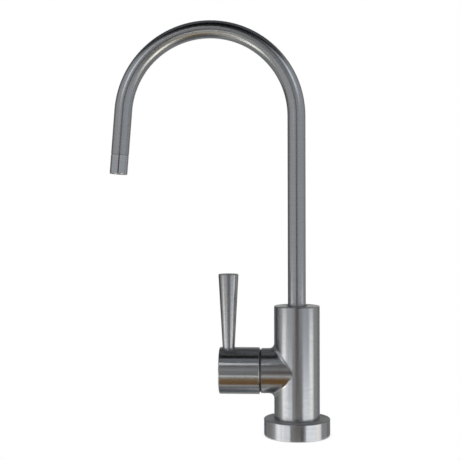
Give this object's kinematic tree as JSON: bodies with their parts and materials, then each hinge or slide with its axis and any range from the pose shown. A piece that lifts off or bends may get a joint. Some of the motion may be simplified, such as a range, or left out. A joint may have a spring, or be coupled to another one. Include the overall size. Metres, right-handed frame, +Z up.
{
  "type": "drinking water faucet",
  "caption": "Deck-mounted drinking water faucet: upright body, side lever on a ceramic cartridge, swivelling gooseneck spout, threaded shank and clamp stack.",
  "frame": {"origin": "centre of the base flange's underside, on the deck", "axes": "+Z up along the body's axis, the handle and the spout at rest toward -X, the user's side toward -Y"},
  "size_m": [0.1473, 0.0444, 0.3414],
  "materials": {
    "brushed_nickel": "brushed satin",
    "brass": "machined",
    "black_rubber": "moulded matt",
    "black_plastic": "moulded",
    "white_plastic": "moulded",
    "alumina_ceramic": "lapped",
    "stainless_steel": "rolled"
  },
  "bodies": {
    "faucet": {"base_flange": "brushed_nickel", "base_gasket": "black_rubber", "faucet_body": "brushed_nickel", "threaded_shank": "brass", "cartridge_housing": "brass", "housing_o_ring": "black_rubber", "fixed_ceramic_disc": "alumina_ceramic", "seat_seal": "black_rubber", "handle_glide_ring": "black_plastic", "spout_glide_ring": "black_plastic", "spout_thrust_washer": "white_plastic"},
    "handle": {"handle_hub": "brushed_nickel", "handle_lever": "brushed_nickel", "grub_screw": "stainless_steel", "valve_stem": "brass", "moving_ceramic_disc": "alumina_ceramic", "stem_o_rings": "black_rubber", "stem_clip": "stainless_steel"},
    "spout": {"spout_tube": "brushed_nickel", "spout_ferrule": "brass", "spout_o_rings": "black_rubber", "spout_snap_ring": "stainless_steel", "outlet_sleeve": "brushed_nickel", "flow_straightener": "white_plastic", "outlet_screen": "stainless_steel"},
    "clamp_stack": {"deck_washer": "black_plastic", "steel_washer": "stainless_steel", "lock_washer": "stainless_steel", "fixing_nut": "brass"}
  },
  "joints": [
    {"name": "handle_turn", "type": "hinge", "parent": "faucet", "child": "handle", "pos_m": [-0.038, 0, 0.0431], "axis": [1, 0, 0], "range_deg": [0, 90]},
    {"name": "spout_swivel", "type": "hinge", "parent": "faucet", "child": "spout", "pos_m": [0, 0, 0.0864], "axis": [0, 0, 1], "continuous": true},
    {"name": "clamp_travel", "type": "slide", "parent": "faucet", "child": "clamp_stack", "axis": [0, 0, 1], "range_m": [-0.009, 0.016]}
  ]
}
